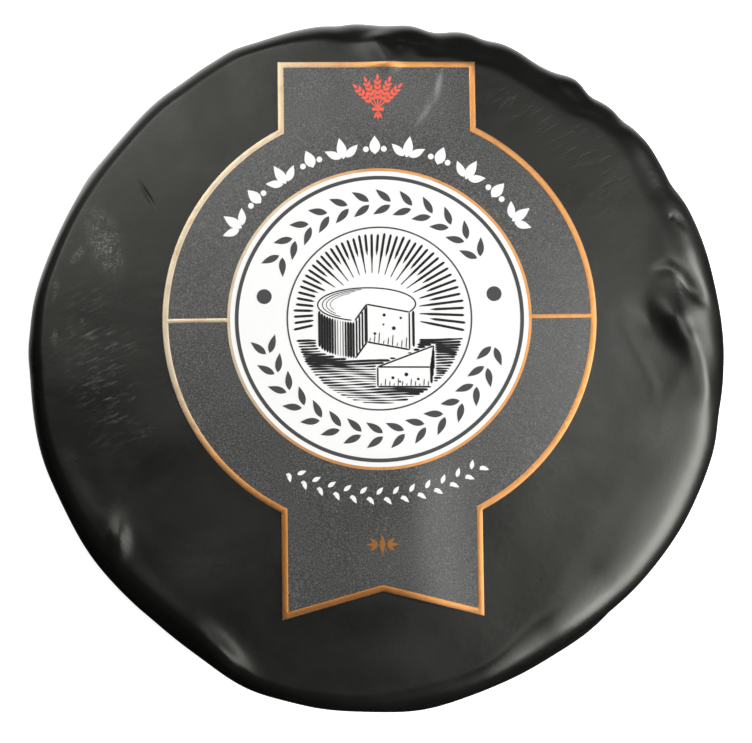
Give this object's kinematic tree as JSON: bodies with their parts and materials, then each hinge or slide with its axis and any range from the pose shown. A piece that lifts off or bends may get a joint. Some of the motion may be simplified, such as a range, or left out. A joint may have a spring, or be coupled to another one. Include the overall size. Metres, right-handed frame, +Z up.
{
  "type": "waxed cheddar cheese truckle",
  "caption": "Whole round of mature hard cheese dipped in black wax, with a dark ring-shaped label edged in copper foil and a white roundel on its flat top face",
  "frame": {"origin": "on the surface that the truckle stands on, below the middle of its outline", "axes": "+Z up through the labelled face, +Y to the top of the label, +X to the label's right"},
  "size_m": [0.1794, 0.1788, 0.0796],
  "materials": {
    "black_wax": "satin food wax, black, with soft highlights and light dusty scuffs",
    "dark_label": "matte dark grey label paper with a fine grain",
    "copper_foil": "copper coloured foil, slightly embossed",
    "white_print": "plain white print",
    "dark_print": "matte dark ink"
  },
  "bodies": {
    "root": {"waxed_truckle": "black_wax", "label_sheet": "dark_label", "copper_border": "copper_foil", "copper_ring": "copper_foil", "white_roundel": "white_print", "dark_ring": "dark_print", "picture_rule": "dark_print", "left_bullet": "dark_print", "right_bullet": "dark_print"}
  },
  "joints": []
}
